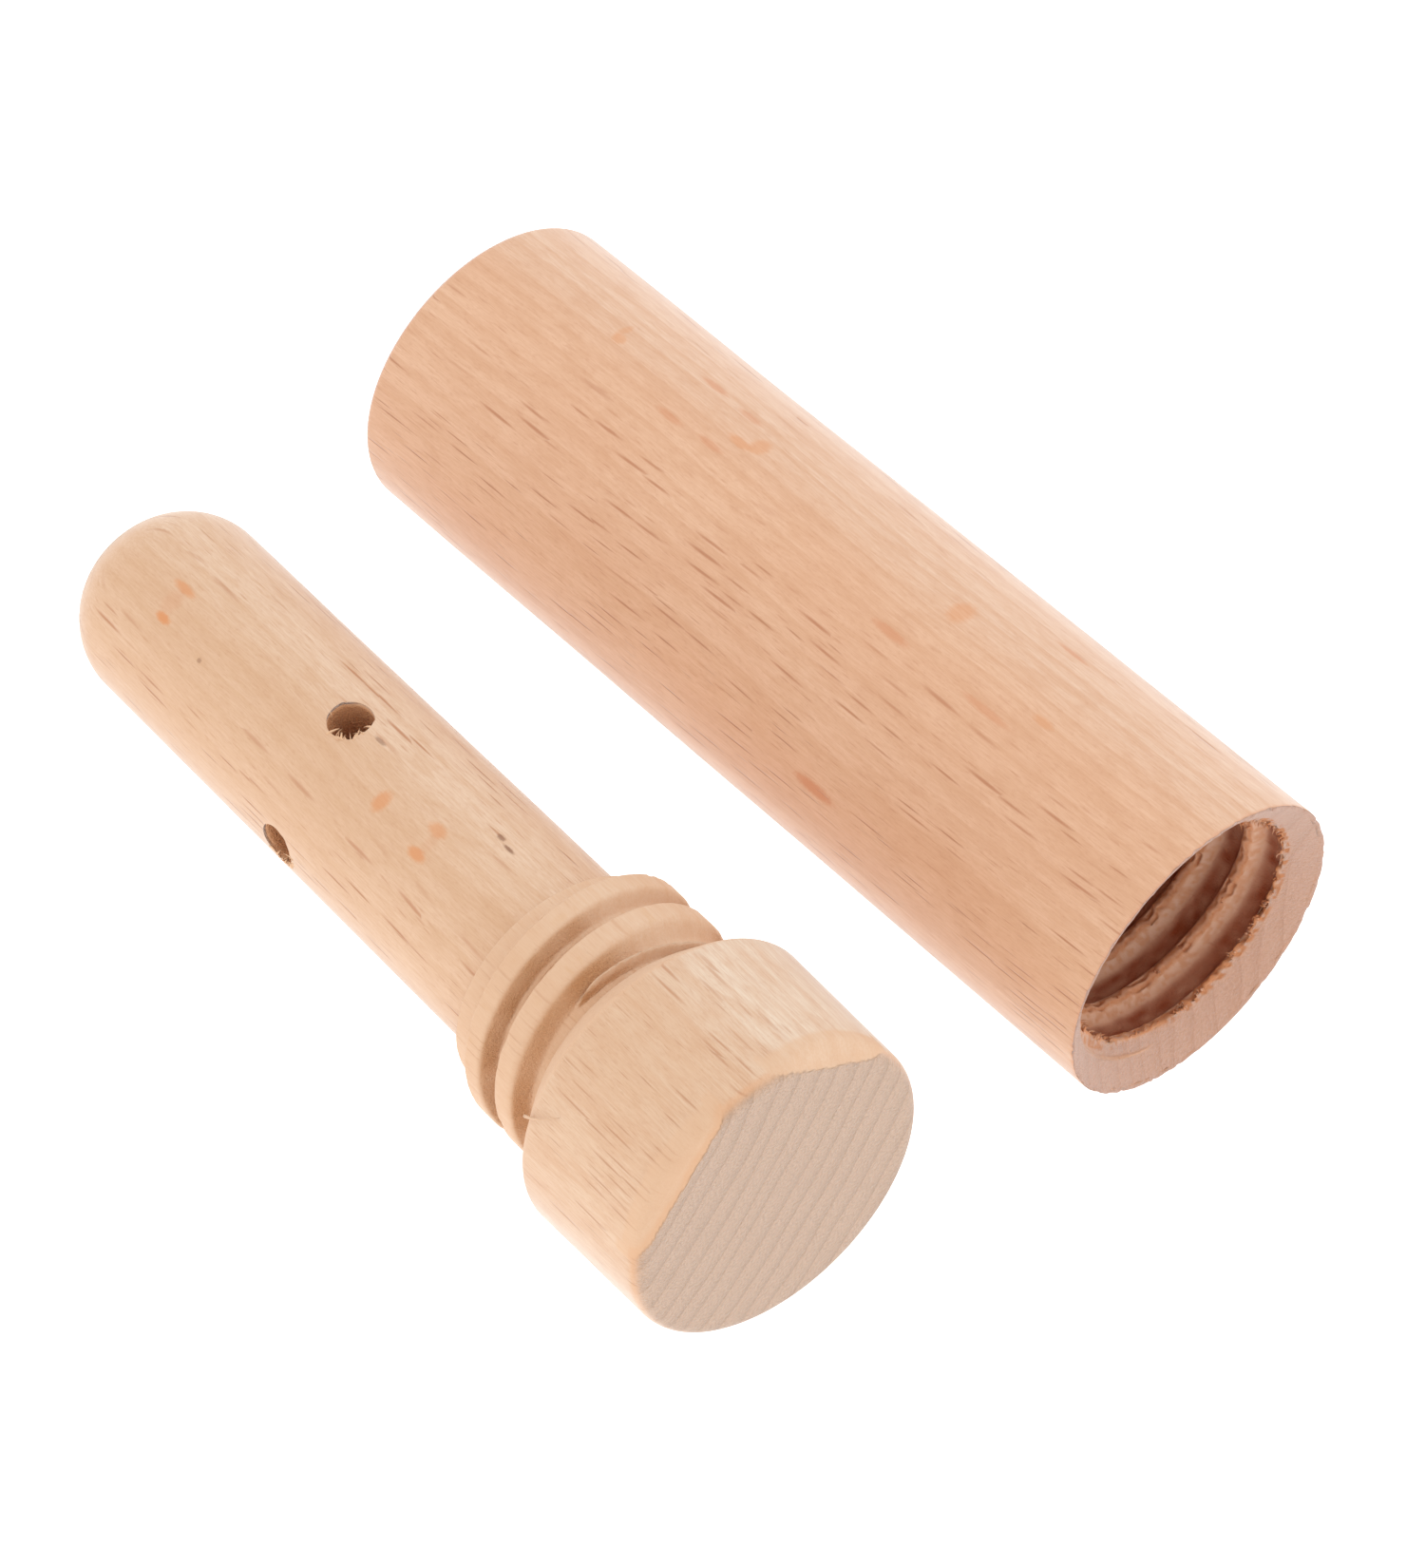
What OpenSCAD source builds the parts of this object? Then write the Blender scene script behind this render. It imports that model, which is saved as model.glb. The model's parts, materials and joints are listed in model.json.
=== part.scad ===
// Turned beech needle case: a threaded tube, and a screw stopper that carries a thread spindle.
// The case lies open on its side, with the stopper beside the tube.
// Millimetres. Z = 0 is the surface it lies on. +X is the way the tube's mouth faces.
// Each piece is drawn along its own axis from z = 0, pointing into the tube, then laid down.

/* [Case tube] */
// Outside diameter of the tube, turned from one inch stock
case_d = 25.4; // [23:0.1:30]
// Length of the tube
case_len = 78.8; // [76:0.1:100]
// Diameter of the plain bore, a three quarter inch drill
bore_d = 19.05; // [18.8:0.05:20]
// Depth of the bore from the mouth
bore_depth = 71; // [70:0.5:74]
// Slope of the conical seat in the mouth, measured from the flat
seat_angle = 35; // [20:1:40]
// Flat left at the mouth outside the conical seat
mouth_land = 0.2; // [0.1:0.05:0.5]
// Rounding of the closed end
case_end_round = 0.8; // [0.2:0.1:3]

/* [Thread] */
// Advance in one turn
pitch = 3.6; // [3.4:0.1:4]
// Crest diameter of the stopper's thread
thread_d = 20.8; // [20.5:0.1:21]
// Root diameter of the stopper's thread
root_d = 18.4; // [18:0.1:18.6]
// Free play between the two threads, on the radius and along the axis
thread_play = 0.15; // [0.1:0.05:0.2]
// Turns of thread on the stopper
stopper_turns = 2.35; // [2:0.05:2.4]
// Depth to which the tube is threaded
case_thread_depth = 12; // [11:0.5:14]

/* [Stopper] */
// Diameter of the knob at its shoulder
knob_d = 25.3; // [24.8:0.1:25.4]
// Diameter of the knob at its face
knob_face_d = 24.8; // [23.5:0.1:25.4]
// Length of the knob, from its face to the rim of its shoulder
knob_len = 13.3; // [11:0.1:16]
// Rounding of the edge of the knob's face
knob_face_round = 1.1; // [0.5:0.1:2]
// Rounding of the rim of the knob's shoulder
knob_rim_round = 0.8; // [0.2:0.1:0.9]
// Length from the shoulder's rim to the end of the threaded collar
collar_len = 12.2; // [12.2:0.1:13.2]
// Depth of the socket that holds the spindle, from the collar's end
socket_depth = 18; // [14:0.5:20]

/* [Spindle] */
// Diameter of the spindle, five eighths inch dowel
spindle_d = 15.9; // [14:0.1:16.2]
// Length of spindle that stands out of the collar
spindle_out = 55.4; // [50:0.1:57]
// Rounding of the spindle's tip
tip_round = 6.3; // [3:0.1:6.8]
// Diameter of the thread-anchor holes
anchor_d = 3.5; // [2:0.1:4]
// Distance of the anchor holes from the collar's end
anchor_at = 24.4; // [15:0.1:40]

/* [Layout] */
// How far the knob's face lies behind the tube's mouth
lie_back = 3.7; // [0:0.1:10]
// Distance across from the tube's axis to the knob's face
lie_across = 37.2; // [34:0.1:50]
// Turn of the stopper away from parallel with the tube
lie_yaw = 4.1; // [0:0.1:6]
// Roll of the stopper about its own axis
lie_roll = -3; // [-180:1:180]

/* [Hidden] */

case_r = case_d / 2;
bore_r = bore_d / 2;
knob_r = knob_d / 2;
thread_r = thread_d / 2;
root_r = root_d / 2;
spindle_r = spindle_d / 2;
stopper_len = knob_len + collar_len;
total_len = stopper_len + spindle_out;
socket_floor = stopper_len - socket_depth;

// The conical seat in the mouth, and the shoulder that rests in it
seat_r = case_r - mouth_land;
seat_slope = tan(seat_angle);
seat_depth = (seat_r - bore_r) * seat_slope;
shoulder_depth = (knob_r - root_r) * seat_slope;

// Chamfer of the collar's end and of the bore's floor
collar_chamfer = 0.4;
drill_point = 1.2;

// Thread form: half its width at the foot, waist and crest, how high the waist is, how deep the foot
// is bedded in the core, and how narrow the thread is where it starts
form_foot = 1.45;
form_waist = 1.2;
form_waist_at = 0.75;
form_crest = 0.75;
form_bed = 0.4;
form_thin = 0.35;
steps_per_turn = 36;

// Height above the shoulder's rim, and angle, at which the stopper's thread starts
stopper_start = 2.15;
stopper_start_angle = -17;
// Depth in the mouth of the tube's groove at the angle where it is met first from above
case_start = 3.06;
case_start_angle = 85;
// Turns over which the stopper's thread grows to its full height, and fades again
fade_in = 0.28;
fade_out = 0.12;
// The groove starts outside the mouth, this many turns before case_start_angle
case_lead = 1.4;
case_turns = case_lead + (case_thread_depth - case_start) / pitch;

// The stopper rests on the rim of its shoulder and on the corner of its tip. The tilt of its axis
// is that of the line which touches both roundings.
rim_z = knob_len - knob_rim_round;
rim_r = knob_r - knob_rim_round;
tip_z = total_len - tip_round;
tip_r = spindle_r - tip_round;
rest_span = norm([tip_z - rim_z, rim_r - tip_r]);
lie_tilt = atan2(rim_r - tip_r, tip_z - rim_z) + asin((knob_rim_round - tip_round) / rest_span);
lie_height = knob_rim_round + rim_z * sin(lie_tilt) + rim_r * cos(lie_tilt);

// The box of the whole layout is centred on the origin: the tip and the mouth are its ends along X,
// the knob's edge and the tube's side its ends along Y
stopper_dir = [-cos(lie_tilt) * cos(lie_yaw), cos(lie_tilt) * sin(lie_yaw), -sin(lie_tilt)];
tip_reach = -stopper_dir.x * tip_z + tip_r * sqrt(1 - stopper_dir.x ^ 2) + tip_round;
face_r = knob_face_d / 2 - knob_face_round;
knob_reach = face_r * sqrt(1 - stopper_dir.y ^ 2) + knob_face_round - stopper_dir.y * knob_face_round;
mouth_x = (lie_back + tip_reach) / 2;
case_y = (lie_across + knob_reach - case_r) / 2;

// Shares of the full height that a thread has at turn t of its n turns
function grow(t, n, lead, tail) = min(1, lead > 0 ? t / lead : 1, tail > 0 ? (n - t) / tail : 1);

// Ring of the thread's outline at one place. It is bedded in the core, so where its share of the
// full height is nothing it lies under the surface at radius r_in.
function thread_ring(angle, z, r_in, r_out, share, play) =
    let (
        r_foot = r_in - form_bed,
        r_top = r_in - form_bed / 2 + (r_out - r_in + form_bed / 2) * share,
        r_waist = r_foot + (r_top - r_foot) * form_waist_at,
        foot = form_foot * (form_thin + (1 - form_thin) * share) + play,
        waist = form_waist * (form_thin + (1 - form_thin) * share) + play,
        crest = form_crest * (form_thin + (1 - form_thin) * share) + play
    )
    [for (p = [[r_foot, -foot], [r_waist, -waist], [r_top, -crest],
               [r_top, crest], [r_waist, waist], [r_foot, foot]])
        [p[0] * cos(angle), p[0] * sin(angle), z + p[1]]];

// Right-hand helical rib of n turns, from the given angle and height
module thread_rib(n, angle, z, r_in, r_out, lead, tail, play) {
    count = ceil(n * steps_per_turn);
    side = 6;
    points = [for (i = [0:count])
        let (t = n * i / count)
        each thread_ring(angle + 360 * t, z + pitch * t, r_in, r_out, grow(t, n, lead, tail), play)];
    skin = [for (i = [0:count - 1], j = [0:side - 1])
        let (a = i * side + j, b = i * side + (j + 1) % side)
        each [[a, b, b + side], [a, b + side, a + side]]];
    first = [for (j = [side - 1:-1:0]) j];
    last = [for (j = [0:side - 1]) count * side + j];
    polyhedron(points, concat([first], skin, [last]), convexity = 8);
}

// Quarter round outline points, from angle a to b about centre c
function arc(c, r, a, b, n = 10) = [for (i = [0:n]) let (g = a + (b - a) * i / n) c + r * [cos(g), sin(g)]];

// Lays a piece down: its own axis points along -X, and its own +X points up
module lay_down(tilt) {
    rotate([0, -90 - tilt, 0])
        children();
}

module place_case() {
    translate([mouth_x, case_y, case_r])
        lay_down(0)
            children();
}

module place_stopper() {
    translate([mouth_x - lie_back, case_y - lie_across, lie_height])
        rotate([0, 0, -lie_yaw])
            lay_down(lie_tilt)
                rotate([0, 0, lie_roll])
                    children();
}

// Tube: rounded closed end, plain bore with a drill point, conical seat and helical groove
module case_tube() {
    color([0.86, 0.66, 0.50])
        place_case()
            difference() {
                rotate_extrude($fn = 96)
                    polygon(concat(
                        [[0, 0], [case_r, 0]],
                        arc([case_r - case_end_round, case_len - case_end_round], case_end_round, 0, 90),
                        [[0, case_len]]));
                translate([0, 0, -1])
                    cylinder(h = bore_depth + 1, r = bore_r, $fn = 96);
                translate([0, 0, bore_depth])
                    cylinder(h = drill_point, r1 = bore_r, r2 = 1, $fn = 96);
                cylinder(h = seat_depth, r1 = seat_r, r2 = bore_r, $fn = 96);
                thread_rib(case_turns, case_start_angle - 360 * case_lead, case_start - pitch * case_lead,
                           bore_r, thread_r + thread_play, 0, fade_in, thread_play);
            }
}

// Stopper: knob, conical shoulder, collar with its thread, and the blind socket for the spindle
module stopper() {
    color([0.89, 0.72, 0.55])
        place_stopper()
            difference() {
                union() {
                    rotate_extrude($fn = 96)
                        polygon(concat(
                            [[0, 0]],
                            arc([face_r, knob_face_round], knob_face_round, -90, 0),
                            arc([rim_r, rim_z], knob_rim_round, 0, 90 - seat_angle),
                            [[root_r, knob_len + shoulder_depth],
                             [root_r, stopper_len - collar_chamfer],
                             [root_r - collar_chamfer, stopper_len],
                             [0, stopper_len]]));
                    thread_rib(stopper_turns, stopper_start_angle, knob_len + stopper_start,
                               root_r, thread_r, fade_in, fade_out, 0);
                }
                translate([0, 0, socket_floor])
                    cylinder(h = socket_depth + 1, r = spindle_r, $fn = 96);
            }
}

// Spindle: round-ended dowel glued in the socket, cross-drilled twice at one station
module spindle() {
    color([0.91, 0.75, 0.57])
        place_stopper()
            difference() {
                rotate_extrude($fn = 96)
                    polygon(concat(
                        [[0, socket_floor], [spindle_r, socket_floor]],
                        arc([tip_r, tip_z], tip_round, 0, 90),
                        [[0, total_len]]));
                for (turn = [0, 90])
                    rotate([0, 0, turn])
                        translate([0, 0, stopper_len + anchor_at])
                            rotate([0, 90, 0])
                                cylinder(h = spindle_d + 2, d = anchor_d, center = true, $fn = 48);
            }
}

case_tube();
stopper();
spindle();
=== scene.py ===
import json
import math
import random
from functools import partial

import bpy
import numpy as np
from mathutils import Matrix, Vector


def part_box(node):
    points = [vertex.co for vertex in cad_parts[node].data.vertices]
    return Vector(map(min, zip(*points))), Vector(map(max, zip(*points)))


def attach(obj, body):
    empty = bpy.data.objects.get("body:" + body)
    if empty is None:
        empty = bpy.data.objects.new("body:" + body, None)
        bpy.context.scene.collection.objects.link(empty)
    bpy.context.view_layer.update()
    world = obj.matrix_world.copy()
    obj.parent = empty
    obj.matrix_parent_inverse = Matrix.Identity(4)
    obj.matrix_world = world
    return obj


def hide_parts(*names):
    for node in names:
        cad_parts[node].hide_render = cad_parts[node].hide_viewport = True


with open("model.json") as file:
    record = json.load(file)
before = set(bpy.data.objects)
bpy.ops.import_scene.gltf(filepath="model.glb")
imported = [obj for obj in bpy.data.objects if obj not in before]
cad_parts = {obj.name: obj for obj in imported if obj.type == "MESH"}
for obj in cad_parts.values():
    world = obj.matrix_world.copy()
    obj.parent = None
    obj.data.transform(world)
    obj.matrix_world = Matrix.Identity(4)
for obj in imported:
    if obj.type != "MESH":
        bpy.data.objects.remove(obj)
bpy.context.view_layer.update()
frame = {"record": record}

# A turned beech needle case, lying open: the threaded tube, and the screw stopper with its spindle.
# Each piece is built along its own axis, +Z pointing into the tube and +X pointing up at rest, in
# millimetres, and its object carries it to its place in the frame.

MM = 0.001
TURN = 2 * math.pi


# ---------------------------------------------------------------- places, from the frame

def mount(name):
    """A mount of the record: its place in metres and its unit direction."""
    found = next(m for m in frame["record"]["mounts"] if m["name"] == name)
    return Vector(found["pos_m"]), Vector(found["axis"]).normalized()


def local_frame(origin, along, up):
    """Matrix that carries millimetres along a piece's own axis to metres in the row frame."""
    z = along.normalized()
    y = z.cross(up).normalized()
    x = y.cross(z)
    turn = Matrix((x, y, z)).transposed().to_4x4()
    return Matrix.Translation(origin) @ turn @ Matrix.Scale(MM, 4)


case_low, case_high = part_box("case_tube")
CASE_R = (case_high.z - case_low.z) / 2 / MM
CASE_LEN = (case_high.x - case_low.x) / MM
mouth_centre = Vector((case_high.x, (case_low.y + case_high.y) / 2, case_low.z + CASE_R * MM))
case_frame = local_frame(mouth_centre, Vector((-1, 0, 0)), Vector((0, 0, 1)))

knob_centre, knob_out = mount("knob_face")
anchor_place, anchor_up = mount("anchor_hole_upright")
stopper_frame = local_frame(knob_centre, -knob_out, anchor_up)
ANCHOR_Z = (stopper_frame.inverted() @ anchor_place).z

# ---------------------------------------------------------------- sizes, millimetres

BORE_R = 9.525
BORE_DEPTH = 71.0
DRILL_POINT = 1.2
CASE_END_ROUND = 0.8
MOUTH_LAND = 0.2
# Slope of the tube's conical seat and of the stopper's shoulder, measured from the flat
SEAT_ANGLE = 35
SEAT_SLOPE = math.tan(math.radians(SEAT_ANGLE))
SEAT_DEPTH = (CASE_R - MOUTH_LAND - BORE_R) * SEAT_SLOPE
PITCH = 3.6
# The tube's groove: its floor, half its width at the bore and at the floor, where it ends, and one place
# that it passes through
GROOVE_R = 10.6
GROOVE_WIDE, GROOVE_NARROW = 1.62, 0.7
CASE_THREAD_END = 12.0
CASE_THREAD_Z, CASE_THREAD_ANGLE = 3.06, math.radians(85)

KNOB_R, KNOB_FACE_R, KNOB_LEN = 12.65, 12.4, 13.3
FACE_ROUND, RIM_ROUND = 1.1, 0.8
COLLAR_END = 25.5
COLLAR_CHAMFER = 0.4
THREAD_R, ROOT_R = 10.4, 9.2
STOPPER_THREAD_Z, STOPPER_THREAD_ANGLE = 15.45, math.radians(-17)
STOPPER_TURNS = 2.35
# The stopper's thread: half its width at the foot and across the crest, and how much of it is left
# where the thread starts
RIB_FOOT, RIB_CREST, RIB_THIN = 1.7, 0.65, 0.3
# The fin: its middle and its thickness along the axis
FIN_Z, FIN_THICK = 16.78, 0.18
# Flats sanded on the edge of the face: direction in degrees, distance from the axis, slope, and how
# brown their border is
FACETS = ((-46, 10.45, 0.38, 0.9), (30, 10.95, 0.9, 0.15))

SPINDLE_R = 7.95
SPINDLE_LEN = 80.9
SPINDLE_FOOT = 7.5
TIP_ROUND = 6.3
ANCHOR_R = 1.75
SOCKET_PLAY = 0.02

# Points round the axis of the threaded pieces, the spindle and the drilled holes, and the radius of the
# small disc that closes a turned mesh at its ends
THREADED_SEGMENTS, SPINDLE_SEGMENTS, HOLE_SEGMENTS = 480, 256, 72
POLE_R = 0.5


# ---------------------------------------------------------------- noise

def hash01(ix, iy, iz, seed):
    """Repeatable values from 0 to 1 at whole-number places."""
    h = (ix * 374761393 + iy * 668265263 + iz * 2147483647 + seed * 144665) & 0xFFFFFFFF
    h = ((h ^ (h >> 13)) * 1274126177) & 0xFFFFFFFF
    h = ((h ^ (h >> 16)) * 2246822519) & 0xFFFFFFFF
    return ((h ^ (h >> 15)) & 0xFFFFFF) / float(0xFFFFFF)


def noise(x, y, z, seed):
    """Smooth value noise from -1 to 1."""
    x, y, z = np.broadcast_arrays(*(np.asarray(a, float) for a in (x, y, z)))
    cell = [np.floor(a).astype(np.int64) for a in (x, y, z)]
    f = [a - c for a, c in zip((x, y, z), cell)]
    f = [t * t * (3 - 2 * t) for t in f]
    total = 0.0
    for dx in (0, 1):
        for dy in (0, 1):
            for dz in (0, 1):
                w = ((f[0] if dx else 1 - f[0]) * (f[1] if dy else 1 - f[1])
                     * (f[2] if dz else 1 - f[2]))
                total = total + w * hash01(cell[0] + dx, cell[1] + dy, cell[2] + dz, seed)
    return 2 * total - 1


def round_noise(angle, z, r, across, along, seed):
    """Noise on a turned surface, with features that many millimetres across and along the axis."""
    return noise(r * np.cos(angle) / across, r * np.sin(angle) / across, z / along, seed)


def smooth(edge0, edge1, v):
    """0 below edge0, 1 above edge1, and smooth between."""
    t = np.clip((v - edge0) / (edge1 - edge0), 0, 1)
    return t * t * (3 - 2 * t)


# ---------------------------------------------------------------- turned meshes

def line(p, q, step):
    """Points of an outline along a straight stretch, without the last."""
    n = max(1, math.ceil(math.dist(p, q) / step))
    return [(p[0] + (q[0] - p[0]) * i / n, p[1] + (q[1] - p[1]) * i / n) for i in range(n)]


def bend(centre, radius, a, b, n):
    """Points of an outline round a corner, angles in degrees from +z towards +r, without the last."""
    out = []
    for i in range(n):
        g = math.radians(a + (b - a) * i / n)
        out.append((centre[0] + radius * math.cos(g), centre[1] + radius * math.sin(g)))
    return out


MARKS = ("torn", "sunk", "cut", "worn")


def turned(name, outline, segments, shape):
    """A closed turned mesh. outline is rows of (z, r) from one end of the axis to the other.
    shape(angle, z, r) returns every grid point's finished z and r, and its marks: how torn it is, how
    sunk in shade, whether a tap or die cut it, and how worn by handling."""
    rows = np.array(outline, float)
    angle = np.linspace(0, TURN, segments, endpoint=False)
    zz = np.repeat(rows[:, :1], segments, 1)
    rr = np.repeat(rows[:, 1:], segments, 1)
    aa = np.repeat(angle[None, :], len(rows), 0)
    zz, rr, marks = shape(aa, zz, rr)
    co = np.stack([rr * np.cos(aa), rr * np.sin(aa), zz], -1).reshape(-1, 3)
    first = len(co)
    poles = np.array([[0, 0, zz[0].mean()], [0, 0, zz[-1].mean()]])
    co = np.concatenate([co, poles])
    i = np.arange(len(rows) - 1)[:, None] * segments
    j = np.arange(segments)[None, :]
    k = (j + 1) % segments
    quads = np.stack([i + j, i + k, i + k + segments, i + j + segments], -1).reshape(-1, 4)
    n = (len(rows) - 1) * segments
    fan0 = np.stack([np.full(segments, first), k[0], j[0]], -1)
    fan1 = np.stack([np.full(segments, first + 1), n + j[0], n + k[0]], -1)
    mesh = bpy.data.meshes.new(name)
    mesh.from_pydata(co.tolist(), [], quads.tolist() + fan0.tolist() + fan1.tolist())
    for label in MARKS:
        layer = mesh.attributes.new(label, "FLOAT", "POINT")
        flat = np.zeros(len(co), np.float32)
        flat[:first] = np.broadcast_to(marks.get(label, 0.0), aa.shape).reshape(-1)
        layer.data.foreach_set("value", flat)
    mesh.update()
    return mesh


def relief(r, rows, reach):
    """How far each point stands above the average of its neighbours along the axis, in r."""
    wide = np.pad(r[rows], ((reach, reach), (0, 0)), mode="edge")
    total = np.cumsum(np.concatenate([np.zeros((1, r.shape[1])), wide]), 0)
    average = (total[2 * reach + 1:] - total[:-2 * reach - 1]) / (2 * reach + 1)
    out = np.zeros_like(r)
    out[rows] = r[rows] - average
    return out


def finish_piece(name, mesh, place, body, node):
    """Puts a mesh in the scene, on its body, and in place of its CAD node if it stands for one."""
    piece = bpy.data.objects.new(name, mesh)
    bpy.context.scene.collection.objects.link(piece)
    piece.matrix_world = place
    mesh.polygons.foreach_set("use_smooth", [True] * len(mesh.polygons))
    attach(piece, body)
    if node:
        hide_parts(node)
    return piece


# ---------------------------------------------------------------- the tube

def case_outline():
    """From the closed end along the outside to the mouth, and inside from there to the bore's floor."""
    thread_step = 0.13
    near_mouth, past_thread, floor = 1.2, CASE_THREAD_END + 0.8, BORE_DEPTH + DRILL_POINT
    rows = line((CASE_LEN, POLE_R), (CASE_LEN, CASE_R - CASE_END_ROUND), 0.7)
    rows += bend((CASE_LEN - CASE_END_ROUND, CASE_R - CASE_END_ROUND), CASE_END_ROUND, 0, 90, 7)
    rows += line((CASE_LEN - CASE_END_ROUND, CASE_R), (near_mouth, CASE_R), 2.4)
    rows += line((near_mouth, CASE_R), (0.1, CASE_R), 0.22)
    # The rim's small round
    rows += [(0.03, CASE_R - 0.02), (0.0, CASE_R - 0.08), (0.02, CASE_R - 0.16)]
    rows += line((0.06, CASE_R - MOUTH_LAND - 0.06), (SEAT_DEPTH, BORE_R), thread_step)
    rows += line((SEAT_DEPTH, BORE_R), (past_thread, BORE_R), thread_step)
    rows += line((past_thread, BORE_R), (BORE_DEPTH, BORE_R), 4.0)
    rows += line((BORE_DEPTH, BORE_R), (floor, POLE_R + 0.1), 1.5)
    return rows + [(floor, POLE_R)]


def case_groove(angle, z):
    """Depth of the helical groove in the bore, and how far past its middle each place is."""
    t = (z - CASE_THREAD_Z) / PITCH - (angle - CASE_THREAD_ANGLE) / TURN
    away = (t - np.round(t)) * PITCH
    fade = smooth(CASE_THREAD_END + 0.6, CASE_THREAD_END - 1.2, z)
    return (GROOVE_R - BORE_R) * smooth(GROOVE_WIDE, GROOVE_NARROW, np.abs(away)) * fade, away


def shape_case(angle, z, r):
    outside = (r > CASE_R - 0.25) & (z < CASE_LEN - 0.9)
    inside = (r < CASE_R - 0.24) & (z < CASE_THREAD_END + 0.9)
    threaded = inside & (z > 0.05)
    depth, past = case_groove(angle, z)
    r = np.where(threaded, np.maximum(r, BORE_R + depth), r)
    # The crests are torn into teeth, which run with the grain
    crest = -relief(r, np.where(threaded[:, 0])[0], 5)
    edge = smooth(0.12, 0.26, crest) * np.where(past > 0, smooth(0.9, 1.2, past), 1.0)
    teeth = np.abs(round_noise(angle, 0.3 * z, r, 0.45, 0.8, 1))
    bites = smooth(0.0, 0.7, round_noise(angle, 0.2 * z, r, 0.9, 1.2, 3))
    r = r + edge * (0.3 * teeth + 0.4 * bites)
    z = z + edge * 0.3 * round_noise(angle, 0.4 * z, r, 0.5, 0.9, 4)
    # The tear runs on a little way up the side that faces the mouth
    near = np.max([np.roll(edge, -back, 0) for back in range(5)], 0) * threaded
    ragged = smooth(-0.35, 0.35, round_noise(angle, 0.3 * z, r, 0.3, 0.5, 9))
    at_rim = smooth(2.7, 1.9, z)
    torn = np.maximum(edge * threaded, (0.6 + 0.4 * at_rim) * near * ragged)
    r = r + near * (1 - edge) * 0.12 * ragged * np.abs(round_noise(angle, z, r, 0.3, 0.3, 10))
    r = r + threaded * 0.03 * round_noise(angle, z, r, 0.4, 1.6, 5)
    # The outside is a little out of round, and its rim at the mouth is chipped here and there
    r = r + outside * 0.035 * round_noise(angle, z, r, 9.0, 14.0, 6)
    rim = smooth(0.5, 0.0, z) * (r > CASE_R - 0.3)
    r = r - rim * 0.1 * smooth(0.0, 0.8, round_noise(angle, 0, r, 0.7, 1.0, 7))
    chip = 0.12 * smooth(0.1, 0.9, round_noise(angle, 0, r, 0.5, 1.0, 8))
    z = np.where(outside & (z < 0.3), z + chip, z)
    # Shade is for the groove's floor and its hidden side, beyond the conical seat
    beyond_seat = smooth(0.2, 0.9, z - (CASE_R - MOUTH_LAND - r) * SEAT_SLOPE)
    sunk = inside * smooth(0.12, 0.95, r - BORE_R) * smooth(1.25, 0.1, past) * beyond_seat
    sunk = sunk * (0.95 + 0.3 * round_noise(angle, z, r, 0.9, 0.6, 11))
    # Deep in the bore, past the thread, shade is painted on as well
    deep = (z > CASE_THREAD_END) & (z < BORE_DEPTH + 2) & (r < CASE_R - 1)
    sunk = np.maximum(sunk, 0.6 * deep)
    worn = 0.6 * smooth(0.35, 0.0, z) * smooth(CASE_R - 0.7, CASE_R - 0.1, r)
    return z, r, dict(torn=torn, sunk=sunk, cut=threaded * beyond_seat, worn=worn)


case_mesh = turned("case_tube_turned", case_outline(), THREADED_SEGMENTS, shape_case)
case_piece = finish_piece("case_tube_turned", case_mesh, case_frame, "case", "case_tube")


# ---------------------------------------------------------------- the stopper

def stopper_outline():
    """From the knob's face along the outside to the collar's end, and inside to the socket's floor. Rows
    are closest at the sanded flats, the fin and the thread."""
    corner = math.radians(SEAT_ANGLE)
    face_r = KNOB_FACE_R - FACE_ROUND
    flats_r = face_r - 1.2
    rim_start = (KNOB_LEN - RIM_ROUND, KNOB_R)
    rim_end = (KNOB_LEN - RIM_ROUND * (1 - math.cos(corner)),
               KNOB_R - RIM_ROUND * (1 - math.sin(corner)))
    shoulder_z = KNOB_LEN + (KNOB_R - ROOT_R) * SEAT_SLOPE + 0.2
    above_root = (shoulder_z - 0.6, ROOT_R + 0.6 / SEAT_SLOPE)
    past_fin = (shoulder_z + 1.3, ROOT_R)
    chamfer_start = (COLLAR_END - COLLAR_CHAMFER, ROOT_R)
    chamfer_end = (COLLAR_END, ROOT_R - COLLAR_CHAMFER)
    socket_r = SPINDLE_R + SOCKET_PLAY
    rows = line((0, POLE_R), (0, flats_r), 0.8)
    rows += line((0, flats_r), (0, face_r), 0.17)
    rows += bend((FACE_ROUND, face_r), FACE_ROUND, 180, 90, 9)
    rows += line((FACE_ROUND, KNOB_FACE_R), rim_start, 0.5)
    rows += bend((KNOB_LEN - RIM_ROUND, KNOB_R - RIM_ROUND), RIM_ROUND, 90, SEAT_ANGLE, 6)
    rows += line(rim_end, above_root, 0.16)
    rows += line(above_root, (shoulder_z, ROOT_R), 0.08)
    rows += line((shoulder_z, ROOT_R), past_fin, 0.07)
    rows += line(past_fin, chamfer_start, 0.14)
    rows += line(chamfer_start, chamfer_end, 0.12)
    rows += line(chamfer_end, (COLLAR_END, socket_r), 0.25)
    rows += line((COLLAR_END, socket_r), (SPINDLE_FOOT, socket_r), 4.0)
    rows += line((SPINDLE_FOOT, socket_r), (SPINDLE_FOOT, POLE_R), 2.0)
    return rows + [(SPINDLE_FOOT, POLE_R)]


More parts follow.
